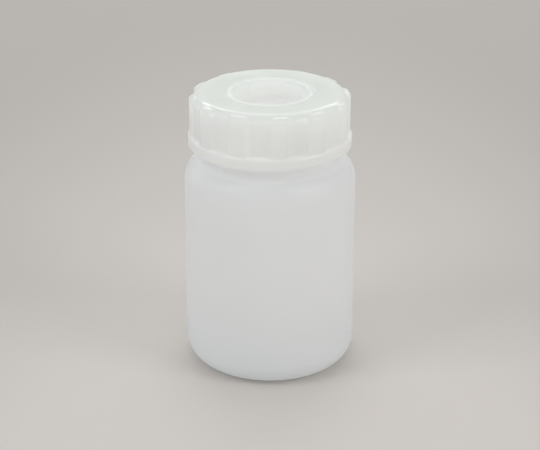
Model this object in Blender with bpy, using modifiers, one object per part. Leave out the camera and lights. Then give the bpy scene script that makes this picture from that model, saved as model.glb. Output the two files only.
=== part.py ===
"""A wide-mouth plastic reagent bottle with an inner plug and a ribbed screw cap.

For Blender 4.5, in metres, +Z up. The origin is the centre of the foot, on the surface that the
bottle stands on, and the front of the bottle faces -Y. The bottle's axis is the Z axis, which is
also the axis that the cap turns and lifts on, so every piece keeps its origin there.

Sizes are in millimetres, and MM turns them into metres. Each round section is an outline of
(radius, height) points that runs with the plastic on its right-hand side: down the outside of the
piece and up the inside.
"""

import math

import bmesh
import bpy
from mathutils import Matrix

MM = 0.001
STEPS = 48  # facets round every turned surface
ARC_STEPS = 5  # straight runs in a rounded corner
WELD = 0.00001  # metres
GAP = 0.3  # clearance between pieces that touch in use

# The whole bottle.
BODY_RADIUS = 25.5
TOTAL_HEIGHT = 85.0

# Bottle body.
WALL = 1.2
FOOT_RADIUS = 18.8
HEEL_FILLET = BODY_RADIUS - FOOT_RADIUS
PUSH_UP_RADIUS = 11.5
PUSH_UP_SLOPE = 1.7
PUSH_UP_HEIGHT = 0.9
SHOULDER_START_Z = 57.6
SHOULDER_WIDTH = 5.4
SHOULDER_HEIGHT = 7.5
NECK_RADIUS = 18.9
BORE_RADIUS = 16.8
LIP_Z = 81.5
LIP_CHAMFER = 0.5

# Screw cap.
CAP_RADIUS = 23.0
CAP_TOP_FILLET = 2.8
CAP_INNER_RADIUS = 20.8
WEB_THICKNESS = 1.8
OPENING_RADIUS = 12.9
EDGE_CHAMFER = 0.4
BAND_RADIUS = 24.3
BAND_BOTTOM_Z = 69.0
BAND_TOP_Z = 72.7
BAND_TOP_FILLET = 1.0
BAND_BOTTOM_FILLET = 0.4
RETAINER_Z = 80.75
RETAINER_HEIGHT = 1.0
RETAINER_HALF_WIDTH = 0.8

# Grip ribs on the cap: flat bars whose tops round over onto the cap's own fillet.
RIB_COUNT = 12
RIB_WIDTH = 5.3
RIB_STAND_OUT = 0.8
RIB_TOP_Z = 84.5
RIB_TOP_ROUND = (2.0, 1.3)  # radius and height of the rounded tops
RIB_CORNER = 1.4
RIB_SPARE = 0.2  # how far a bar reaches above the ribs' tops before it is cut to them
RIB_ROOT = 1.4  # how far a rib reaches into the cap's wall
RIB_OVERLAP = 0.5  # how far a rib reaches down into the band
FIRST_RIB_DEG = 7.0  # from the front, towards +X

# Inner plug: a cup that fills the cap's opening, a flange under the cap's web, and a skirt that
# seals the neck.
WELL_RADIUS = 11.1
WELL_FLOOR_RADIUS = 10.9
WELL_FILLET = 0.8
WELL_RIM_FILLET = 0.8
WELL_FLOOR_Z = 78.6
PLUG_FLOOR = 1.4
CUP_RADIUS = OPENING_RADIUS - GAP
PLUG_RIM_Z = TOTAL_HEIGHT - 0.1
FLANGE_RADIUS = CAP_INNER_RADIUS - 0.5
FLANGE_TOP_Z = TOTAL_HEIGHT - WEB_THICKNESS - GAP
FLANGE_BOTTOM_Z = LIP_Z + GAP
SKIRT_RADIUS = 16.2
SKIRT_INNER_RADIUS = 14.9
SKIRT_BOTTOM_Z = 75.8
SKIRT_LEAD_IN = 0.5
SEAL_Z = 78.6
SEAL_RADIUS = BORE_RADIUS - GAP

# Right-handed screw thread. Both beads have one pitch, and the cap's bead lies half a pitch
# below the neck's, so that the two never meet as the cap unscrews.
THREAD_PITCH = 4.2
THREAD_BEAD = 1.1
THREAD_BOTTOM_Z = 72.4
NECK_THREAD_TURNS = (0.0, 1.6)
CAP_THREAD_TURNS = (0.15, 1.65)
NECK_THREAD_RADIUS = NECK_RADIUS + 0.3
CAP_THREAD_RADIUS = CAP_INNER_RADIUS
THREAD_POINTS_PER_TURN = 24
RUN_OUT_TURNS = 0.12  # each end of a bead fades away over this much of a turn
RUN_OUT_SCALE = 0.15
RUN_OUT_DEPTH = 0.2


def arc(centre, radii, start_deg, end_deg):
    """Points on a rounded corner: part of an ellipse with the given (radius, height) radii."""
    points = []
    for step in range(ARC_STEPS + 1):
        angle = math.radians(start_deg + (end_deg - start_deg) * step / ARC_STEPS)
        r = centre[0] + radii[0] * math.cos(angle)
        z = centre[1] + radii[1] * math.sin(angle)
        points.append((r, z))
    return points


def fillet(centre, radius, start_deg, end_deg):
    """Points on a circular corner."""
    return arc(centre, (radius, radius), start_deg, end_deg)


def clear_scene():
    """Remove the objects that the file starts with."""
    for item in list(bpy.data.objects):
        bpy.data.objects.remove(item)


def make_collection(name):
    """Add a collection to the scene."""
    collection = bpy.data.collections.new(name)
    bpy.context.scene.collection.children.link(collection)
    return collection


def plastic(name, colour, roughness):
    """A plain moulded plastic."""
    material = bpy.data.materials.new(name)
    material.use_nodes = True
    shader = material.node_tree.nodes["Principled BSDF"]
    shader.inputs["Base Color"].default_value = (*colour, 1.0)
    shader.inputs["Roughness"].default_value = roughness
    shader.inputs["Metallic"].default_value = 0.0
    return material


def body_plastic():
    """Natural polyethylene with the satin skin of a blown bottle."""
    return plastic("body_plastic", (0.66, 0.69, 0.70), 0.45)


def plug_plastic():
    """Natural polyethylene, soft and slightly waxy."""
    return plastic("plug_plastic", (0.76, 0.79, 0.76), 0.35)


def cap_plastic():
    """Natural polypropylene from a polished mould."""
    return plastic("cap_plastic", (0.74, 0.77, 0.73), 0.28)


def turned(name, outline, closed, collection):
    """A round piece: its outline turned once round the Z axis."""
    mesh = bpy.data.meshes.new(name)
    edges = [(index, index + 1) for index in range(len(outline) - 1)]
    if closed:
        edges.append((len(outline) - 1, 0))
    mesh.from_pydata([(r * MM, 0.0, z * MM) for r, z in outline], edges, [])
    piece = bpy.data.objects.new(name, mesh)
    collection.objects.link(piece)
    screw = piece.modifiers.new("turn", "SCREW")
    screw.axis = "Z"
    screw.angle = math.tau
    screw.steps = STEPS
    screw.render_steps = STEPS
    screw.use_merge_vertices = True
    screw.merge_threshold = WELD
    screw.use_smooth_shade = True
    return piece


def hide_shape(shape):
    """Show a shape that only serves a Boolean as a wire, and keep it out of renders."""
    shape.hide_render = True
    shape.display_type = "WIRE"


def welded_mesh(curve):
    """The closed mesh of a curve that has filled caps. The curve is removed."""
    guide = bpy.data.objects.new(curve.name, curve)
    bpy.context.scene.collection.objects.link(guide)
    evaluated = guide.evaluated_get(bpy.context.evaluated_depsgraph_get())
    mesh = bpy.data.meshes.new_from_object(evaluated)
    bpy.data.objects.remove(guide)
    solid = bmesh.new()
    solid.from_mesh(mesh)
    bmesh.ops.remove_doubles(solid, verts=solid.verts, dist=WELD / 10)
    solid.to_mesh(mesh)
    solid.free()
    return mesh


def thread_bead(name, turns, radius, faded_radius, start_z, collection):
    """A helical bead round the axis whose two ends fade into the wall at faded_radius."""
    first, last = turns
    count = round((last - first) * THREAD_POINTS_PER_TURN)
    curve = bpy.data.curves.new(name, "CURVE")
    curve.dimensions = "3D"
    curve.bevel_depth = THREAD_BEAD * MM
    curve.bevel_resolution = 2
    curve.use_fill_caps = True
    spline = curve.splines.new("POLY")
    spline.points.add(count)
    for index, point in enumerate(spline.points):
        turn = first + (last - first) * index / count
        grown = min(1.0, (turn - first) / RUN_OUT_TURNS, (last - turn) / RUN_OUT_TURNS)
        line_radius = faded_radius + (radius - faded_radius) * grown
        x = line_radius * math.cos(math.tau * turn)
        y = line_radius * math.sin(math.tau * turn)
        z = start_z + THREAD_PITCH * turn
        point.co = (x * MM, y * MM, z * MM, 1.0)
        point.radius = RUN_OUT_SCALE + (1.0 - RUN_OUT_SCALE) * grown
    bead = bpy.data.objects.new(name, welded_mesh(curve))
    collection.objects.link(bead)
    hide_shape(bead)
    return bead


def combine(piece, other, operation):
    """Join a shape to a piece, or keep only what the two share."""
    modifier = piece.modifiers.new(other.name, "BOOLEAN")
    modifier.operation = operation
    modifier.solver = "EXACT"
    modifier.object = other


def bottle_outline():
    """The blown bottle: a raised base inside a flat foot, a thin wall and a thicker neck."""
    floor_z = PUSH_UP_HEIGHT + WALL
    shoulder_r = BODY_RADIUS - SHOULDER_WIDTH
    shoulder_z = SHOULDER_START_Z + SHOULDER_HEIGHT
    heel = (FOOT_RADIUS, HEEL_FILLET)
    shoulder = (shoulder_r, SHOULDER_START_Z)
    outer_shoulder = (SHOULDER_WIDTH, SHOULDER_HEIGHT)
    inner_shoulder = (SHOULDER_WIDTH - WALL, SHOULDER_HEIGHT - WALL)
    root = shoulder_r - NECK_RADIUS
    outer_root = (shoulder_r, shoulder_z + root)
    inner_root = (BORE_RADIUS + root, shoulder_z - WALL + root)
    inside = [
        (0.0, floor_z),
        (PUSH_UP_RADIUS, floor_z),
        (PUSH_UP_RADIUS + PUSH_UP_SLOPE, WALL),
    ]
    inside += fillet(heel, HEEL_FILLET - WALL, -90, 0)
    inside += arc(shoulder, inner_shoulder, 0, 90)
    inside += fillet(inner_root, root, -90, -180)
    lip = [
        (BORE_RADIUS, LIP_Z - LIP_CHAMFER),
        (BORE_RADIUS + LIP_CHAMFER, LIP_Z),
        (NECK_RADIUS - LIP_CHAMFER, LIP_Z),
        (NECK_RADIUS, LIP_Z - LIP_CHAMFER),
    ]
    outside = fillet(outer_root, root, 180, 270)
    outside += arc(shoulder, outer_shoulder, 90, 0)[1:]
    outside += fillet(heel, HEEL_FILLET, 0, -90)
    under = [
        (PUSH_UP_RADIUS + PUSH_UP_SLOPE, 0.0),
        (PUSH_UP_RADIUS, PUSH_UP_HEIGHT),
        (0.0, PUSH_UP_HEIGHT),
    ]
    return inside + lip + outside + under


def make_bottle_body(collection, shapes):
    """The bottle with its threaded neck."""
    body = turned("bottle_body", bottle_outline(), False, collection)
    bead = thread_bead(
        "neck_thread", NECK_THREAD_TURNS, NECK_THREAD_RADIUS, NECK_RADIUS - RUN_OUT_DEPTH,
        THREAD_BOTTOM_Z, shapes,
    )
    combine(body, bead, "UNION")
    body.data.materials.append(body_plastic())
    return body


def plug_outline():
    """The inner plug: the cup of the well, the flange and the sealing skirt."""
    floor_z = WELL_FLOOR_Z - PLUG_FLOOR
    cup = [(0.0, WELL_FLOOR_Z)]
    cup += fillet(
        (WELL_FLOOR_RADIUS - WELL_FILLET, WELL_FLOOR_Z + WELL_FILLET), WELL_FILLET, -90, 0
    )
    cup += fillet(
        (WELL_RADIUS + WELL_RIM_FILLET, PLUG_RIM_Z - WELL_RIM_FILLET), WELL_RIM_FILLET, 180, 90
    )
    cup += [
        (CUP_RADIUS - EDGE_CHAMFER, PLUG_RIM_Z),
        (CUP_RADIUS, PLUG_RIM_Z - EDGE_CHAMFER),
        (CUP_RADIUS, FLANGE_TOP_Z),
    ]
    flange = [
        (FLANGE_RADIUS - EDGE_CHAMFER, FLANGE_TOP_Z),
        (FLANGE_RADIUS, FLANGE_TOP_Z - EDGE_CHAMFER),
        (FLANGE_RADIUS, FLANGE_BOTTOM_Z),
    ]
    skirt = [
        (SKIRT_RADIUS, FLANGE_BOTTOM_Z),
        (SKIRT_RADIUS, SEAL_Z + 1.2),
        (SEAL_RADIUS, SEAL_Z + 0.3),
        (SEAL_RADIUS, SEAL_Z - 0.3),
        (SKIRT_RADIUS - SKIRT_LEAD_IN, SKIRT_BOTTOM_Z),
        (SKIRT_INNER_RADIUS + 0.2, SKIRT_BOTTOM_Z),
        (SKIRT_INNER_RADIUS, FLANGE_BOTTOM_Z),
    ]
    under = [
        (CUP_RADIUS, FLANGE_BOTTOM_Z),
        (CUP_RADIUS, floor_z + WELL_FILLET),
        (CUP_RADIUS - WELL_FILLET, floor_z),
        (0.0, floor_z),
    ]
    return cup + flange + skirt + under


def make_inner_plug(collection):
    """The plug that closes the neck and shows as a deep round well in the cap."""
    plug = turned("inner_plug", plug_outline(), False, collection)
    plug.data.materials.append(plug_plastic())
    return plug


def cap_outline():
    """The cap's ring: the web over the plug's flange, the side wall and the lower band."""
    top_fillet = (CAP_RADIUS - CAP_TOP_FILLET, TOTAL_HEIGHT - CAP_TOP_FILLET)
    band_top = (BAND_RADIUS - BAND_TOP_FILLET, BAND_TOP_Z - BAND_TOP_FILLET)
    band_bottom = (BAND_RADIUS - BAND_BOTTOM_FILLET, BAND_BOTTOM_Z + BAND_BOTTOM_FILLET)
    web_z = TOTAL_HEIGHT - WEB_THICKNESS
    retainer_top = RETAINER_Z + RETAINER_HALF_WIDTH
    retainer_bottom = RETAINER_Z - RETAINER_HALF_WIDTH
    top = [
        (OPENING_RADIUS, TOTAL_HEIGHT - EDGE_CHAMFER),
        (OPENING_RADIUS + EDGE_CHAMFER, TOTAL_HEIGHT),
    ]
    side = fillet(top_fillet, CAP_TOP_FILLET, 90, 0)
    band = [(CAP_RADIUS, BAND_TOP_Z)]
    band += fillet(band_top, BAND_TOP_FILLET, 90, 0)
    band += fillet(band_bottom, BAND_BOTTOM_FILLET, 0, -90)
    bore = [
        (CAP_INNER_RADIUS + EDGE_CHAMFER, BAND_BOTTOM_Z),
        (CAP_INNER_RADIUS, BAND_BOTTOM_Z + EDGE_CHAMFER),
        (CAP_INNER_RADIUS, retainer_bottom),
        (CAP_INNER_RADIUS - RETAINER_HEIGHT, RETAINER_Z - 0.2),
        (CAP_INNER_RADIUS - RETAINER_HEIGHT, RETAINER_Z + 0.2),
        (CAP_INNER_RADIUS, retainer_top),
        (CAP_INNER_RADIUS, web_z),
        (OPENING_RADIUS, web_z),
    ]
    return top + side + band + bore


def rib_envelope_outline():
    """A ring that holds the ribs' outer surface, standing a rib's height off the cap."""
    face_radius = CAP_RADIUS + RIB_STAND_OUT
    centre = (face_radius - RIB_TOP_ROUND[0], RIB_TOP_Z - RIB_TOP_ROUND[1])
    outside = arc(centre, RIB_TOP_ROUND, 90, 0)
    bottom_z = BAND_TOP_Z - RIB_OVERLAP
    inner_radius = CAP_RADIUS - RIB_ROOT
    return outside + [
        (face_radius, bottom_z),
        (inner_radius, bottom_z),
        (inner_radius, RIB_TOP_Z),
    ]


def rib_bar_mesh():
    """One radial bar with rounded upper corners, standing at the cap's +Y side."""
    half = RIB_WIDTH / 2
    bottom_z = BAND_TOP_Z - 2 * RIB_OVERLAP
    corner_z = RIB_TOP_Z + RIB_SPARE - RIB_CORNER
    outline = [(half, bottom_z)]
    outline += fillet((half - RIB_CORNER, corner_z), RIB_CORNER, 0, 90)
    outline += fillet((RIB_CORNER - half, corner_z), RIB_CORNER, 90, 180)
    outline += [(-half, bottom_z)]
    depth = RIB_STAND_OUT + 2 * RIB_ROOT
    curve = bpy.data.curves.new("rib_bar", "CURVE")
    curve.dimensions = "2D"
    curve.fill_mode = "BOTH"
    curve.extrude = depth / 2 * MM
    spline = curve.splines.new("POLY")
    spline.points.add(len(outline) - 1)
    spline.use_cyclic_u = True
    for point, (x, z) in zip(spline.points, outline):
        point.co = (x * MM, z * MM, 0.0, 1.0)
    mesh = welded_mesh(curve)
    mesh.transform(Matrix.Rotation(math.radians(90), 4, "X"))
    mesh.transform(Matrix.Translation((0.0, CAP_RADIUS * MM, 0.0)))
    return mesh


def make_ribs(shapes):
    """All the grip ribs: bars round the cap, cut to the curved envelope."""
    bar = rib_bar_mesh()
    bars = bmesh.new()
    for index in range(RIB_COUNT):
        turn = math.radians(180 + FIRST_RIB_DEG + index * 360 / RIB_COUNT)
        placed = bar.copy()
        placed.transform(Matrix.Rotation(turn, 4, "Z"))
        bars.from_mesh(placed)
        bpy.data.meshes.remove(placed)
    bars_mesh = bpy.data.meshes.new("rib_bars")
    bars.to_mesh(bars_mesh)
    bars.free()
    bpy.data.meshes.remove(bar)
    bars_shape = bpy.data.objects.new("rib_bars", bars_mesh)
    shapes.objects.link(bars_shape)
    hide_shape(bars_shape)
    ribs = turned("ribs", rib_envelope_outline(), True, shapes)
    hide_shape(ribs)
    combine(ribs, bars_shape, "INTERSECT")
    return ribs


def make_screw_cap(collection, shapes):
    """The ribbed outer cap, which holds the plug down and lifts it."""
    cap = turned("screw_cap", cap_outline(), True, collection)
    bead = thread_bead(
        "cap_thread", CAP_THREAD_TURNS, CAP_THREAD_RADIUS, CAP_INNER_RADIUS + RUN_OUT_DEPTH,
        THREAD_BOTTOM_Z - THREAD_PITCH / 2, shapes,
    )
    combine(cap, bead, "UNION")
    combine(cap, make_ribs(shapes), "UNION")
    cap.data.materials.append(cap_plastic())
    return cap


def build():
    """Make the whole bottle."""
    clear_scene()
    bottle = make_collection("reagent_bottle")
    shapes = make_collection("cutters")
    make_bottle_body(bottle, shapes)
    make_inner_plug(bottle)
    make_screw_cap(bottle, shapes)


build()
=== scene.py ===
"""The looks of a wide-mouth plastic reagent bottle, round its CAD frame.

Three pieces stand for the three CAD nodes: the blown bottle, the inner plug and the screw cap. Each
is one closed skin, turned round the Z axis from an outline, whose rows can stand out from the
outline to make ribs, threads and the slight unevenness of blown plastic. Sizes are in millimetres,
unless a comment says otherwise, and MM turns them into metres. An outline runs with the plastic on
its right-hand side: down the outside and up the inside.
"""

import math

import bpy
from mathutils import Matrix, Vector


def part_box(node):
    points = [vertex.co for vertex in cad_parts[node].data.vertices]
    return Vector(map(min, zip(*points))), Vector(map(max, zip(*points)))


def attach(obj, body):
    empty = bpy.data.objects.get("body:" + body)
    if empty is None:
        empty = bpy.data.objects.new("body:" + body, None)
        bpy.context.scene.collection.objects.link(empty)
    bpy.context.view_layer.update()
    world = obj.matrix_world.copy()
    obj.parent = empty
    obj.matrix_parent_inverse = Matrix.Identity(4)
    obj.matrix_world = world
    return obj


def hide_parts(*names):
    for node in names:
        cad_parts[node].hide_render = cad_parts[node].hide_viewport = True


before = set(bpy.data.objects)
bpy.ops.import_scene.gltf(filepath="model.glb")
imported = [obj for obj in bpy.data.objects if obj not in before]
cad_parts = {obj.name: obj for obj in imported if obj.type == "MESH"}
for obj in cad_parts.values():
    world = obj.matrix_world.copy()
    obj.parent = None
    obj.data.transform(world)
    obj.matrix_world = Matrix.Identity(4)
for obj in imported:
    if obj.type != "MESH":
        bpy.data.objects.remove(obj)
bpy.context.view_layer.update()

MM = 0.001


def reach(node):
    """A CAD node's outer radius, lowest height and greatest height, in millimetres."""
    low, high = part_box(node)
    return high.x / MM, low.z / MM, high.z / MM


BODY_RADIUS, _, LIP_Z = reach("bottle_body")
FLANGE_RADIUS, SKIRT_BOTTOM_Z, PLUG_RIM_Z = reach("inner_plug")
BAND_RADIUS, BAND_BOTTOM_Z, TOP_Z = reach("screw_cap")

CLEARANCE = 0.3  # between pieces that touch or press lightly when the bottle is closed

# Bottle body.
WALL = 1.2
HEEL_FILLET = 6.7
FOOT_RADIUS = BODY_RADIUS - HEEL_FILLET
PUSH_UP_RADIUS = 11.5
PUSH_UP_SLOPE = 1.7
PUSH_UP_HEIGHT = 0.9
SHOULDER_START_Z = 57.6
SHOULDER_WIDTH = 5.4
SHOULDER_HEIGHT = 7.5
NECK_RADIUS = 18.9
BORE_RADIUS = 16.8
LIP_FILLET = 0.6
SEAM_HEIGHT = 0.07  # the mould's parting line
SEAM_HALF_WIDTH = 0.35
SEAM_START = (0.3, 3.0)  # heights between which the parting line grows
WALL_WAVE = 0.035  # how uneven the blown wall is
WAVE_START = (3.0, 14.0)  # heights between which the unevenness grows
WAVE_END = (56.0, 65.0)  # and fades away

# Screw cap.
CAP_RADIUS = 23.0
CAP_TOP_FILLET = 2.8
CAP_INNER_RADIUS = 20.8
WEB_THICKNESS = 1.8
OPENING_RADIUS = 12.9
CAP_EDGE = 0.4
BAND_HEIGHT = 3.7
BAND_TOP_Z = BAND_BOTTOM_Z + BAND_HEIGHT
BAND_TOP_FILLET = 1.0
BAND_BOTTOM_FILLET = 0.4
BAND_ROOT_FILLET = 0.3
RETAINER_Z = 80.75
RETAINER_HEIGHT = 1.0
RETAINER_HALF_WIDTH = 0.8
RETAINER_CREST = 0.2  # half the width of the bead's flat crest

# Grip ribs.
RIB_COUNT = 12
RIB_PITCH = math.tau / RIB_COUNT
RIB_HALF_WIDTH = 3.1
RIB_STAND_OUT = 0.8
RIB_TOP_Z = 84.5
RIB_TOP_ROUND = (2.0, 1.3)  # radius and height of the ribs' rounded tops
RIB_CORNER = 1.4  # radius of a rib's two upper corners
RIB_EDGE = 2.2  # width of the rounded edge
RIB_EDGE_INSIDE = 0.65  # share of that width inside the rib's half-width; the rest is outside
RIB_FADE = 6.0  # rows this far below a rib's top are back at their own height
FIRST_RIB = math.radians(7.0 - 90.0)  # the front rib stands 7 degrees round from -Y
CAP_FILLET_Z = TOP_Z - CAP_TOP_FILLET
RIB_ROUND_Z = RIB_TOP_Z - RIB_TOP_ROUND[1]
# The angle on the cap's top fillet, up from the horizontal, at which the ribs leave it.
RIB_START = math.asin((RIB_TOP_Z - CAP_FILLET_Z) / CAP_TOP_FILLET)

# Inner plug.
WELL_RADIUS = 11.1
WELL_FLOOR_RADIUS = 10.9
WELL_FILLET = 0.8
WELL_RIM_FILLET = 0.8
WELL_FLOOR_Z = 78.6
PLUG_FLOOR = 1.4
OPENING_SEAM = 0.12  # the fine gap between the cup and the cap's opening
CUP_RADIUS = OPENING_RADIUS - OPENING_SEAM
FLANGE_TOP_Z = TOP_Z - WEB_THICKNESS - CLEARANCE
FLANGE_BOTTOM_Z = LIP_Z + CLEARANCE
SKIRT_RADIUS = 16.2
SKIRT_INNER_RADIUS = 14.9
SKIRT_TAPER = 0.5  # how far the skirt's outside comes in towards its end
SKIRT_BEVEL = 0.2  # at the end's outer edge
SKIRT_INNER_TAPER = 0.3
SEAL_Z = 78.6
SEAL_RADIUS = BORE_RADIUS - CLEARANCE
SEAL_CREST = 0.3  # half the width of the sealing bead's flat crest
SEAL_LEAD = 1.4  # from the bead's middle up to where it leaves the skirt
GATE_RADIUS = 1.3
GATE_DEPTH = 0.25
GATE_SLOPE = 0.3

# Screw thread.
THREAD_PITCH = 4.2
THREAD_BOTTOM_Z = 72.4
THREAD_HALF_WIDTH = 1.25
THREAD_ROUNDNESS = 1.3  # above 1 gives a narrower crest
NECK_THREAD_TURNS = (0.0, 1.6)
NECK_THREAD_HEIGHT = 1.4
CAP_THREAD_TURNS = (0.15, 1.65)
CAP_THREAD_HEIGHT = 1.1
RUN_OUT_TURNS = 0.12

# Meshes.
ARC_ROWS = 10  # rows in a quarter-circle fillet
EVEN_STEPS = 240
RIB_STEPS = (5, 9, 7, 9, 5)  # between ribs, at an edge, on the face, at an edge, between ribs
RIB_FINE_INSIDE = 0.7  # how far the fine steps at an edge go onto the rib, in widths of RIB_EDGE
RIB_FINE_OUTSIDE = 0.6  # and how far off the rib, as a share of that
SAME_ROW = 1e-4  # a row of an arc nearer than this to the last row is left out
ON_AXIS = 1e-6  # a row with a smaller radius is one point
SHARP_EDGE = math.radians(50)  # edges that turn more than this are shaded sharp

# Surfaces: scales are repeats in a metre, depths are in millimetres.
CLOUD_SCALE = 45.0
CLOUD_RANGE = (0.45, 0.75)  # noise values from which a patch is cloudy, and fully so
SKIN_SCALE = 260.0
SKIN_RANGE = (0.3, 0.7)  # noise values of the smoothest and the dullest patches
SKIN_DEPTH = 0.002
GRAIN_SCALE = 3200.0

# Each plastic: tints_and_painted_light are (height, colour) pairs from the bottom up, which hold
# the plastic's own tone and, as said at each, painted shade and painted light. cloudy is the colour
# of cloudier patches. through is the share of the light that each face lets through. Only the rest
# meets the gloss, so an ior above a polyolefin's 1.5 gives back the gloss of a polished mould.
# roughness is that of the smoothest and the dullest patches. grain is the mould texture's depth.
BODY_LOOK = {
    "tints_and_painted_light": (
        # painted shade: the foot is bluer and darker, where less light comes through the plastic
        (2.0, (0.926, 0.940, 0.949)),
        (26.0, (0.946, 0.948, 0.949)),
        (57.0, (0.946, 0.948, 0.949)),
        (64.0, (0.893, 0.900, 0.906)),  # the shoulder: painted shade that tones down its lit band
        (65.3, (0.990, 0.990, 0.990)),  # the neck: painted light that lightens the shade under the cap
    ),
    "cloudy": (0.940, 0.945, 0.948),
    "through": 0.70,
    "ior": 1.8,
    "roughness": (0.34, 0.42),
    "grain": 0.004,
}
PLUG_LOOK = {
    # The lower tint is the plug's own colour; the darker one at the rim's top is painted shade that
    # tones down the lit rim.
    "tints_and_painted_light": ((83.4, (0.989, 0.990, 0.985)), (84.8, (0.880, 0.900, 0.888))),
    "cloudy": (0.986, 0.990, 0.983),
    "through": 0.60,
    "ior": 1.5,
    "roughness": (0.26, 0.32),
    "grain": 0.002,
}
CAP_LOOK = {
    # The side's tint is the milky plastic set brighter as painted light; the darker, greener top is
    # partly the cap's own greenish tone and partly painted shade that tones down the top lit from
    # above.
    "tints_and_painted_light": ((80.0, (0.998, 0.998, 0.993)), (84.6, (0.911, 0.931, 0.913))),
    "cloudy": (0.976, 0.983, 0.975),
    "through": 0.72,
    "ior": 1.9,
    "roughness": (0.10, 0.13),
    "grain": 0.001,
}

# Studio.
FLOOR_SIZE = 3.0  # metres
FLOOR_Z = -0.03  # a hair under the foot, so that the two never share a plane
FIBRE_SCALE = 900.0
FIBRE_DEPTH = 0.03
# The floor paper's colour darkens from a spot in front of the bottle: painted shade for the light
# falling off across the floor.
PAPER_NEAR = (0.579, 0.550, 0.524)
PAPER_FAR_PAINTED_SHADE = (0.385, 0.366, 0.348)
PAINTED_FALLOFF_SPREAD = (4.8, 1.9, 0.0)  # the painted falloff is darkest beyond 1 m divided by these
PAINTED_FALLOFF_LIGHTEST = 0.13  # metres in front of the bottle, where the painted falloff is lightest
PAPER_ROUGHNESS = 0.9
PAPER_GLOSS = 0.1
WORLD_STRENGTH = 0.755
LIGHT_DISTANCE = 0.8  # metres
SOFTBOXES = (  # name, degrees from the front towards +X, degrees up, metres, watts and colour
    ("left_softbox", -62.0, 40.0, (0.36, 0.36), 1.45, (0.97, 0.98, 1.0)),
    ("right_softbox", 60.0, 30.0, (0.36, 0.36), 1.5, (1.0, 0.99, 0.95)),
    ("back_softbox", 180.0, 39.0, (0.9, 0.12), 2.2, (1.0, 1.0, 1.0)),
)
LIGHT_BOUNCES = 48
CAMERA_ELEVATION = math.radians(23.24)
CAMERA_DISTANCE = 0.510  # metres
CAMERA_AIM_Z = 0.0423  # metres
CAMERA_LENS = 112.2
CAMERA_SENSOR = 36.0
CAMERA_CLIP = 0.01  # metres


# ---------------------------------------------------------------------------------------------
# Outlines


class Outline:
    """Rows of a turned piece: radius, height and the relief that moves the row's points."""

    def __init__(self):
        self.rows = []

    def point(self, r, z, relief=None):
        """One more row."""
        self.rows.append((r, z, relief))

    def line(self, r, z, spacing, relief=None):
        """Rows at an even spacing, from the last one to (r, z)."""
        start_r, start_z, _ = self.rows[-1]
        count = max(1, round(math.hypot(r - start_r, z - start_z) / spacing))
        for step in range(1, count + 1):
            share = step / count
            self.point(start_r + (r - start_r) * share, start_z + (z - start_z) * share, relief)

    def arc(self, centre, radii, start_deg, end_deg, relief=None, rows=ARC_ROWS):
        """Rows round part of an ellipse, without repeating the last row."""
        for step in range(rows + 1):
            angle = math.radians(start_deg + (end_deg - start_deg) * step / rows)
            r = centre[0] + radii[0] * math.cos(angle)
            z = centre[1] + radii[1] * math.sin(angle)
            if not self.rows or math.dist((r, z), self.rows[-1][:2]) > SAME_ROW:
                self.point(r, z, relief)

    def fillet(self, centre, radius, start_deg, end_deg, relief=None, rows=ARC_ROWS):
        """Rows round part of a circle."""
        self.arc(centre, (radius, radius), start_deg, end_deg, relief, rows)


def outward(rows, index, closed):
    """The outline's outward direction at a row, as (radius, height)."""
    last = len(rows) - 1
    before = rows[(index - 1) % len(rows)] if closed else rows[max(index - 1, 0)]
    after = rows[(index + 1) % len(rows)] if closed else rows[min(index + 1, last)]
    along_r, along_z = after[0] - before[0], after[1] - before[1]
    length = math.hypot(along_r, along_z) or 1.0
    return -along_z / length, along_r / length


def smooth(value, low, high):
    """0 below low, 1 above high, and a smooth rise between them."""
    share = min(1.0, max(0.0, (value - low) / (high - low)))
    return share * share * (3.0 - 2.0 * share)


def revolve(name, outline, angles, closed):
    """One closed skin: every row of the outline at every angle. A row on the axis is one point."""
    rows = outline.rows
    verts, rings = [], []
    for index, (r, z, relief) in enumerate(rows):
        if r < ON_AXIS:
            rings.append([len(verts)] * len(angles))
            verts.append((0.0, 0.0, z * MM))
            continue
        normal = outward(rows, index, closed)
        ring = []
        for angle in angles:
            out_r, out_z = relief(angle, r, z, normal) if relief else (0.0, 0.0)
            ring.append(len(verts))
            x = (r + out_r) * math.cos(angle) * MM
            y = (r + out_r) * math.sin(angle) * MM
            verts.append((x, y, (z + out_z) * MM))
        rings.append(ring)
    faces = []
    pairs = list(zip(rings, rings[1:]))
    if closed:
        pairs.append((rings[-1], rings[0]))
    for upper, lower in pairs:
        for step in range(len(angles)):
            after = (step + 1) % len(angles)
            corners = (upper[step], lower[step], lower[after], upper[after])
            face = tuple(dict.fromkeys(corners))
            if len(face) > 2:
                faces.append(face)
    mesh = bpy.data.meshes.new(name)
    mesh.from_pydata(verts, [], faces)
    mesh.validate()
    mesh.shade_smooth()
    mesh.set_sharp_from_angle(angle=SHARP_EDGE)
    piece = bpy.data.objects.new(name, mesh)
    bpy.context.scene.collection.objects.link(piece)
    return piece


def even_angles(steps):
    """Evenly spaced angles round the axis."""
    return [math.tau * step / steps for step in range(steps)]


def rib_angles():
    """Angles round the cap, close together at the edges of the ribs and wider elsewhere."""
    half = RIB_HALF_WIDTH / CAP_RADIUS
    edge = RIB_EDGE * RIB_FINE_INSIDE / CAP_RADIUS
    outside = half + edge * RIB_FINE_OUTSIDE
    knots = [-RIB_PITCH / 2, -outside, -half + edge, half - edge, outside, RIB_PITCH / 2]
    angles = []
    for rib in range(RIB_COUNT):
        middle = FIRST_RIB + rib * RIB_PITCH
        for low, high, count in zip(knots, knots[1:], RIB_STEPS):
            angles += [middle + low + (high - low) * step / count for step in range(count)]
    return angles


# ---------------------------------------------------------------------------------------------
# Reliefs: how far a row's points move, as (radius, height)


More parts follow.
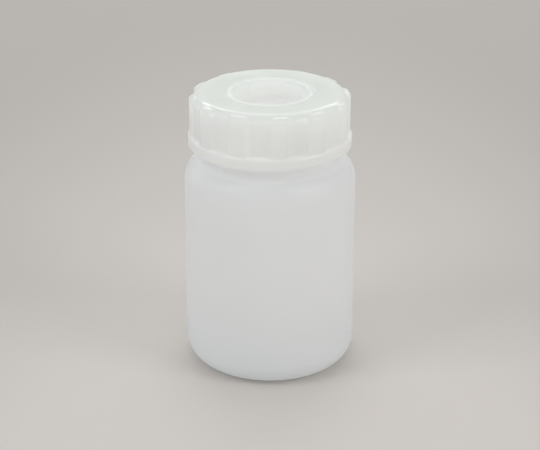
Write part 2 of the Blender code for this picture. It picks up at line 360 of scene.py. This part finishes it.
def wavy_wall(angle, r, z, normal):
    """The slight unevenness of a blown wall, and the mould's parting line at both sides."""
    fade = smooth(z, *WAVE_START) * (1.0 - smooth(z, *WAVE_END))
    wave = math.sin(2 * angle + 0.7) * math.sin(z * 0.11 + 1.0)
    wave += 0.5 * math.sin(3 * angle - z * 0.07) + 0.35 * math.sin(5 * angle + z * 0.21)
    stand = WALL_WAVE * fade * wave + parting_line(angle, r, z)
    return stand * normal[0], stand * normal[1]


def seam_only(angle, r, z, normal):
    """The mould's parting line alone."""
    stand = parting_line(angle, r, z)
    return stand * normal[0], stand * normal[1]


def parting_line(angle, r, z):
    """A fine ridge at the +X and -X sides, which fades away at the foot."""
    off_side = abs(math.sin(angle)) * r
    return SEAM_HEIGHT * smooth(z, *SEAM_START) * (1.0 - smooth(off_side, 0.0, SEAM_HALF_WIDTH * 2))


def rib_share(angle, down):
    """1 on a rib and 0 between ribs, with rounded edges, at a point this far down from its top."""
    offset = (angle - FIRST_RIB + RIB_PITCH / 2) % RIB_PITCH - RIB_PITCH / 2
    above_corner = min(RIB_CORNER, max(0.0, RIB_CORNER - down))
    half = RIB_HALF_WIDTH - RIB_CORNER + math.sqrt(RIB_CORNER**2 - above_corner**2)
    inside = half - abs(offset) * CAP_RADIUS
    return smooth(inside, -RIB_EDGE * (1.0 - RIB_EDGE_INSIDE), RIB_EDGE * RIB_EDGE_INSIDE)


def cap_side_ribs(angle, r, z, normal):
    """Ribs on the cap's side, whose faces keep one radius until the band's top passes it."""
    share = rib_share(angle, 2 * RIB_CORNER)
    raised = RIB_ROUND_Z - CAP_FILLET_Z
    fade = smooth(z, CAP_FILLET_Z - RIB_FADE, CAP_FILLET_Z)
    return max(0.0, CAP_RADIUS + RIB_STAND_OUT - r) * share, raised * fade * share


def cap_fillet_ribs(angle, r, z, normal):
    """The ribs' tops: a short shelf above the cap's fillet that rounds over to the ribs' faces."""
    turn = math.atan2(z - CAP_FILLET_Z, r - CAP_RADIUS + CAP_TOP_FILLET)
    if turn >= RIB_START:
        return 0.0, 0.0
    rib_turn = turn / RIB_START * math.pi / 2
    rib_r = CAP_RADIUS + RIB_STAND_OUT - RIB_TOP_ROUND[0] * (1.0 - math.cos(rib_turn))
    rib_z = RIB_ROUND_Z + RIB_TOP_ROUND[1] * math.sin(rib_turn)
    share = rib_share(angle, RIB_TOP_ROUND[1] * (math.pi / 2 - rib_turn))
    return (rib_r - r) * share, (rib_z - z) * share


def bead_share(angle, z, turns, bottom_z):
    """1 on the crest of a helical bead, 0 off it, fading away at the bead's two ends."""
    first, last = turns
    best = 0.0
    for whole in range(-1, 3):
        turn = (angle % math.tau) / math.tau + whole
        if first <= turn <= last:
            off = abs(z - bottom_z - THREAD_PITCH * turn) / THREAD_HALF_WIDTH
            ends = smooth(min(turn - first, last - turn), 0.0, RUN_OUT_TURNS)
            if off < 1.0:
                best = max(best, ends * math.cos(off * math.pi / 2) ** THREAD_ROUNDNESS)
    return best


def neck_thread(angle, r, z, normal):
    """The neck's thread stands out of the neck."""
    return NECK_THREAD_HEIGHT * bead_share(angle, z, NECK_THREAD_TURNS, THREAD_BOTTOM_Z), 0.0


def cap_thread(angle, r, z, normal):
    """The cap's thread stands into the cap, half a pitch under the neck's."""
    bottom_z = THREAD_BOTTOM_Z - THREAD_PITCH / 2
    return -CAP_THREAD_HEIGHT * bead_share(angle, z, CAP_THREAD_TURNS, bottom_z), 0.0


# ---------------------------------------------------------------------------------------------
# Pieces


def make_bottle():
    """The blown bottle: base, wall, shoulder, threaded neck and lip, inside and out."""
    skin = Outline()
    shoulder_r = BODY_RADIUS - SHOULDER_WIDTH
    shoulder_z = SHOULDER_START_Z + SHOULDER_HEIGHT
    root = shoulder_r - NECK_RADIUS
    ramp_r = PUSH_UP_RADIUS + PUSH_UP_SLOPE
    skin.point(0.0, PUSH_UP_HEIGHT + WALL)
    skin.line(PUSH_UP_RADIUS, PUSH_UP_HEIGHT + WALL, 3.0)
    skin.line(ramp_r, WALL, 0.6)
    skin.line(FOOT_RADIUS, WALL, 2.5)
    skin.fillet((FOOT_RADIUS, HEEL_FILLET), HEEL_FILLET - WALL, -90, 0)
    skin.line(BODY_RADIUS - WALL, SHOULDER_START_Z, 5.0)
    inner = (SHOULDER_WIDTH - WALL, SHOULDER_HEIGHT - WALL)
    skin.arc((shoulder_r, SHOULDER_START_Z), inner, 0, 90)
    skin.fillet((BORE_RADIUS + root, shoulder_z - WALL + root), root, -90, -180)
    skin.line(BORE_RADIUS, LIP_Z - LIP_FILLET, 4.0)
    skin.fillet((BORE_RADIUS + LIP_FILLET, LIP_Z - LIP_FILLET), LIP_FILLET, 180, 90, rows=6)
    skin.fillet((NECK_RADIUS - LIP_FILLET, LIP_Z - LIP_FILLET), LIP_FILLET, 90, 0, rows=6)
    skin.line(NECK_RADIUS, shoulder_z + root, 0.2, neck_thread)
    skin.fillet((shoulder_r, shoulder_z + root), root, 180, 270, seam_only)
    outer = (SHOULDER_WIDTH, SHOULDER_HEIGHT)
    skin.arc((shoulder_r, SHOULDER_START_Z), outer, 90, 0, wavy_wall, 24)
    skin.line(BODY_RADIUS, HEEL_FILLET, 1.2, wavy_wall)
    skin.fillet((FOOT_RADIUS, HEEL_FILLET), HEEL_FILLET, 0, -90, seam_only, 20)
    skin.line(ramp_r, 0.0, 1.5)
    skin.line(PUSH_UP_RADIUS, PUSH_UP_HEIGHT, 0.4)
    skin.line(0.0, PUSH_UP_HEIGHT, 2.0)
    return revolve("bottle", skin, even_angles(EVEN_STEPS), False)


def make_plug():
    """The inner plug: the well's cup, the flange on the neck's lip and the sealing skirt."""
    skin = Outline()
    under_z = WELL_FLOOR_Z - PLUG_FLOOR
    skin.point(0.0, WELL_FLOOR_Z - GATE_DEPTH)
    skin.line(GATE_RADIUS - GATE_SLOPE, WELL_FLOOR_Z - GATE_DEPTH, 0.5)
    skin.line(GATE_RADIUS, WELL_FLOOR_Z, 0.1)
    skin.line(WELL_FLOOR_RADIUS - WELL_FILLET, WELL_FLOOR_Z, 1.0)
    skin.fillet((WELL_FLOOR_RADIUS - WELL_FILLET, WELL_FLOOR_Z + WELL_FILLET), WELL_FILLET, -90, 0)
    skin.line(WELL_RADIUS, PLUG_RIM_Z - WELL_RIM_FILLET, 0.5)
    rim = (WELL_RADIUS + WELL_RIM_FILLET, PLUG_RIM_Z - WELL_RIM_FILLET)
    skin.fillet(rim, WELL_RIM_FILLET, 180, 90)
    skin.fillet((CUP_RADIUS - CAP_EDGE, PLUG_RIM_Z - CAP_EDGE), CAP_EDGE, 90, 0)
    skin.line(CUP_RADIUS, FLANGE_TOP_Z, 0.5)
    skin.line(FLANGE_RADIUS - CAP_EDGE, FLANGE_TOP_Z, 1.0)
    skin.fillet((FLANGE_RADIUS - CAP_EDGE, FLANGE_TOP_Z - CAP_EDGE), CAP_EDGE, 90, 0, rows=5)
    skin.line(FLANGE_RADIUS, FLANGE_BOTTOM_Z, 0.5)
    skin.line(SKIRT_RADIUS, FLANGE_BOTTOM_Z, 1.0)
    skin.line(SKIRT_RADIUS, SEAL_Z + SEAL_LEAD, 0.5)
    skin.line(SEAL_RADIUS, SEAL_Z + SEAL_CREST, 0.3)
    skin.line(SEAL_RADIUS, SEAL_Z - SEAL_CREST, 0.3)
    skin.line(SKIRT_RADIUS - SKIRT_TAPER, SKIRT_BOTTOM_Z + SKIRT_BEVEL, 0.5)
    skin.line(SKIRT_RADIUS - SKIRT_TAPER - SKIRT_BEVEL, SKIRT_BOTTOM_Z, 0.2)
    skin.line(SKIRT_INNER_RADIUS + SKIRT_INNER_TAPER, SKIRT_BOTTOM_Z, 0.3)
    skin.line(SKIRT_INNER_RADIUS, FLANGE_BOTTOM_Z, 1.0)
    skin.line(CUP_RADIUS, FLANGE_BOTTOM_Z, 0.5)
    skin.line(CUP_RADIUS, under_z + WELL_FILLET, 1.0)
    skin.fillet((CUP_RADIUS - WELL_FILLET, under_z + WELL_FILLET), WELL_FILLET, 0, -90, rows=6)
    skin.line(0.0, under_z, 2.0)
    return revolve("plug", skin, even_angles(EVEN_STEPS), False)


def make_cap():
    """The screw cap's ring: top, ribbed side, lower band, inner thread and retaining bead."""
    skin = Outline()
    web_z = TOP_Z - WEB_THICKNESS
    fillet_r = CAP_RADIUS - CAP_TOP_FILLET
    skin.fillet((OPENING_RADIUS + CAP_EDGE, TOP_Z - CAP_EDGE), CAP_EDGE, 180, 90, rows=6)
    skin.line(fillet_r, TOP_Z, 0.8)
    skin.fillet((fillet_r, CAP_FILLET_Z), CAP_TOP_FILLET, 90, 0, cap_fillet_ribs, 30)
    skin.line(CAP_RADIUS, BAND_TOP_Z + BAND_ROOT_FILLET, 0.6, cap_side_ribs)
    root = (CAP_RADIUS + BAND_ROOT_FILLET, BAND_TOP_Z + BAND_ROOT_FILLET)
    skin.fillet(root, BAND_ROOT_FILLET, 180, 270, cap_side_ribs, 5)
    band_top = (BAND_RADIUS - BAND_TOP_FILLET, BAND_TOP_Z - BAND_TOP_FILLET)
    band_bottom = (BAND_RADIUS - BAND_BOTTOM_FILLET, BAND_BOTTOM_Z + BAND_BOTTOM_FILLET)
    skin.fillet(band_top, BAND_TOP_FILLET, 90, 0, cap_side_ribs)
    skin.line(band_bottom[0] + BAND_BOTTOM_FILLET, band_bottom[1], 0.6)
    skin.fillet(band_bottom, BAND_BOTTOM_FILLET, 0, -90, rows=7)
    skin.line(CAP_INNER_RADIUS + CAP_EDGE, BAND_BOTTOM_Z, 0.8)
    skin.fillet((CAP_INNER_RADIUS + CAP_EDGE, BAND_BOTTOM_Z + CAP_EDGE), CAP_EDGE, 270, 180, rows=4)
    skin.line(CAP_INNER_RADIUS, RETAINER_Z - RETAINER_HALF_WIDTH, 0.2, cap_thread)
    crest_r = CAP_INNER_RADIUS - RETAINER_HEIGHT
    skin.line(crest_r, RETAINER_Z - RETAINER_CREST, 0.4)
    skin.line(crest_r, RETAINER_Z + RETAINER_CREST, 0.2)
    skin.line(CAP_INNER_RADIUS, RETAINER_Z + RETAINER_HALF_WIDTH, 0.4)
    skin.line(CAP_INNER_RADIUS, web_z, 0.5)
    skin.line(OPENING_RADIUS, web_z, 1.0)
    return revolve("cap", skin, rib_angles(), True)


# ---------------------------------------------------------------------------------------------
# Materials


def nodes_of(name):
    """A new material, its node tree and its Principled shader."""
    material = bpy.data.materials.new(name)
    material.use_nodes = True
    tree = material.node_tree
    return material, tree, tree.nodes["Principled BSDF"]


def noise(tree, place, scale, detail):
    """Smooth random variation from 0 to 1, with about scale repeats in a metre."""
    texture = tree.nodes.new("ShaderNodeTexNoise")
    texture.inputs["Scale"].default_value = scale
    texture.inputs["Detail"].default_value = detail
    tree.links.new(place, texture.inputs["Vector"])
    return texture.outputs[0]


def ramp(tree, value, from_low, from_high, to_low, to_high):
    """A value moved smoothly from one range to another, and held at the ends."""
    node = tree.nodes.new("ShaderNodeMapRange")
    node.interpolation_type = "SMOOTHSTEP"
    limits = (from_low, from_high, to_low, to_high)
    for socket, limit in zip(node.inputs[1:5], limits):
        socket.default_value = limit
    tree.links.new(value, node.inputs["Value"])
    return node.outputs["Result"]


def tint(tree, share, colour, other):
    """A colour that goes to other as share goes from 0 to 1. colour may be a socket."""
    node = tree.nodes.new("ShaderNodeMix")
    node.data_type = "RGBA"
    first, second = node.inputs[6], node.inputs[7]
    if isinstance(colour, tuple):
        first.default_value = (*colour, 1.0)
    else:
        tree.links.new(colour, first)
    second.default_value = (*other, 1.0)
    tree.links.new(share, node.inputs[0])
    return node.outputs[2]


def bumped(tree, height, depth, under=None):
    """A normal from a height of 0 to 1 that stands depth millimetres, over another bump."""
    node = tree.nodes.new("ShaderNodeBump")
    node.inputs["Strength"].default_value = 1.0
    node.inputs["Distance"].default_value = depth * MM
    tree.links.new(height, node.inputs["Height"])
    if under:
        tree.links.new(under, node.inputs["Normal"])
    return node.outputs["Normal"]


def milky_plastic(name, tints_and_painted_light, cloudy, through, ior, roughness, grain):
    """Natural polyolefin: part of the light goes through it, and its skin is smooth and waxy. Its
    colour is blended by height through its tints, which carry painted shade and painted light.
    """
    material, tree, shader = nodes_of(name)
    place = tree.nodes.new("ShaderNodeTexCoord").outputs["Object"]
    split = tree.nodes.new("ShaderNodeSeparateXYZ")
    tree.links.new(place, split.inputs[0])
    colour = tints_and_painted_light[0][1]
    # Blend up through the height tints: the plastic's own tone, with painted shade and painted
    # light.
    for (low_z, _), (high_z, upper) in zip(tints_and_painted_light, tints_and_painted_light[1:]):
        height = ramp(tree, split.outputs["Z"], low_z * MM, high_z * MM, 0.0, 1.0)
        colour = tint(tree, height, colour, upper)
    clouds = ramp(tree, noise(tree, place, CLOUD_SCALE, 3.0), *CLOUD_RANGE, 0.0, 1.0)
    colour = tint(tree, clouds, colour, cloudy)
    skin = noise(tree, place, SKIN_SCALE, 4.0)
    dullness = ramp(tree, skin, *SKIN_RANGE, *roughness)
    normal = bumped(tree, skin, SKIN_DEPTH)
    normal = bumped(tree, noise(tree, place, GRAIN_SCALE, 2.0), grain, normal)
    thin = tree.nodes.new("ShaderNodeBsdfTranslucent")
    mix = tree.nodes.new("ShaderNodeMixShader")
    mix.inputs[0].default_value = through
    shader.inputs["IOR"].default_value = ior
    tree.links.new(dullness, shader.inputs["Roughness"])
    for layer, colour_socket in ((shader, "Base Color"), (thin, "Color")):
        tree.links.new(colour, layer.inputs[colour_socket])
        tree.links.new(normal, layer.inputs["Normal"])
    tree.links.new(shader.outputs[0], mix.inputs[1])
    tree.links.new(thin.outputs[0], mix.inputs[2])
    tree.links.new(mix.outputs[0], tree.nodes["Material Output"].inputs["Surface"])
    return material


def paper(name, colour, shaded_far_colour):
    """Matt paper for the studio floor, with painted shade: its colour darkens away from a spot in
    front of the bottle, as the light falls off.
    """
    material, tree, shader = nodes_of(name)
    place = tree.nodes.new("ShaderNodeTexCoord").outputs["Object"]
    fibres = noise(tree, place, FIBRE_SCALE, 3.0)
    spread = tree.nodes.new("ShaderNodeMapping")
    spread.inputs["Scale"].default_value = PAINTED_FALLOFF_SPREAD
    spread.inputs["Location"].default_value = (0.0, PAINTED_FALLOFF_LIGHTEST * PAINTED_FALLOFF_SPREAD[1], 0.0)
    tree.links.new(place, spread.inputs["Vector"])
    distance = tree.nodes.new("ShaderNodeVectorMath")
    distance.operation = "LENGTH"
    tree.links.new(spread.outputs[0], distance.inputs[0])
    # Painted shade: the colour goes to the far colour with distance from the lightest spot.
    painted_falloff = ramp(tree, distance.outputs["Value"], 0.0, 1.0, 0.0, 1.0)
    tree.links.new(tint(tree, painted_falloff, colour, shaded_far_colour), shader.inputs["Base Color"])
    tree.links.new(bumped(tree, fibres, FIBRE_DEPTH), shader.inputs["Normal"])
    shader.inputs["Roughness"].default_value = PAPER_ROUGHNESS
    shader.inputs["Specular IOR Level"].default_value = PAPER_GLOSS
    return material


# ---------------------------------------------------------------------------------------------
# Studio


def make_floor():
    """A wide pale floor under the bottle."""
    bpy.ops.mesh.primitive_plane_add(size=FLOOR_SIZE, location=(0.0, 0.0, FLOOR_Z * MM))
    floor = bpy.context.object
    floor.name = "studio_floor"
    floor.data.materials.append(paper("floor_paper", PAPER_NEAR, PAPER_FAR_PAINTED_SHADE))


def softbox(name, azimuth, elevation, size, watts, colour):
    """A softbox that faces the bottle. azimuth is in degrees from the front, towards +X."""
    data = bpy.data.lights.new(name, "AREA")
    data.shape = "RECTANGLE"
    data.size, data.size_y = size
    data.energy = watts
    data.color = colour
    light = bpy.data.objects.new(name, data)
    turn, rise = math.radians(azimuth), math.radians(elevation)
    flat = math.cos(rise)
    painted_falloff = Vector((math.sin(turn) * flat, -math.cos(turn) * flat, math.sin(rise)))
    light.location = Vector((0.0, 0.0, CAMERA_AIM_Z)) + painted_falloff * LIGHT_DISTANCE
    light.rotation_euler = painted_falloff.to_track_quat("Z", "Y").to_euler()
    bpy.context.scene.collection.objects.link(light)


def make_world(strength):
    """Even white light from all round."""
    world = bpy.data.worlds.new("studio")
    world.use_nodes = True
    background = world.node_tree.nodes["Background"]
    background.inputs["Color"].default_value = (1.0, 1.0, 1.0, 1.0)
    background.inputs["Strength"].default_value = strength
    bpy.context.scene.world = world


def make_light():
    """Soft light from all round, a softbox at each side of the camera and one over the back."""
    make_world(WORLD_STRENGTH)
    for box in SOFTBOXES:
        softbox(*box)


def make_look():
    """Plain colours, and enough bounces for light to fill the milky bottle."""
    scene = bpy.context.scene
    scene.view_settings.view_transform = "Standard"
    scene.cycles.max_bounces = LIGHT_BOUNCES
    scene.cycles.diffuse_bounces = LIGHT_BOUNCES


def make_camera():
    """A camera in front of the bottle, looking slightly down at its middle."""
    data = bpy.data.cameras.new("camera")
    data.lens = CAMERA_LENS
    data.sensor_width = CAMERA_SENSOR
    data.clip_start = CAMERA_CLIP
    camera = bpy.data.objects.new("camera", data)
    aim = Vector((0.0, 0.0, CAMERA_AIM_Z))
    back = Vector((0.0, -math.cos(CAMERA_ELEVATION), math.sin(CAMERA_ELEVATION)))
    camera.location = aim + back * CAMERA_DISTANCE
    camera.rotation_euler = (-back).to_track_quat("-Z", "Y").to_euler()
    bpy.context.scene.collection.objects.link(camera)
    bpy.context.scene.camera = camera


# ---------------------------------------------------------------------------------------------


def place(piece, material, body, node, slot):
    """Give a piece its plastic and its body, and hide the CAD node that it stands for."""
    piece.data.materials.append(material)
    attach(piece, body)
    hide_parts(node)


def build():
    """The studio and the three pieces."""
    make_camera()
    make_floor()
    make_light()
    make_look()
    blown_plastic = milky_plastic("blown_plastic", **BODY_LOOK)
    place(make_bottle(), blown_plastic, "bottle", "bottle_body", "body_plastic")
    plug_plastic = milky_plastic("plug_plastic", **PLUG_LOOK)
    place(make_plug(), plug_plastic, "plug", "inner_plug", "plug_plastic")
    cap_plastic = milky_plastic("cap_plastic", **CAP_LOOK)
    place(make_cap(), cap_plastic, "cap", "screw_cap", "cap_plastic")


build()
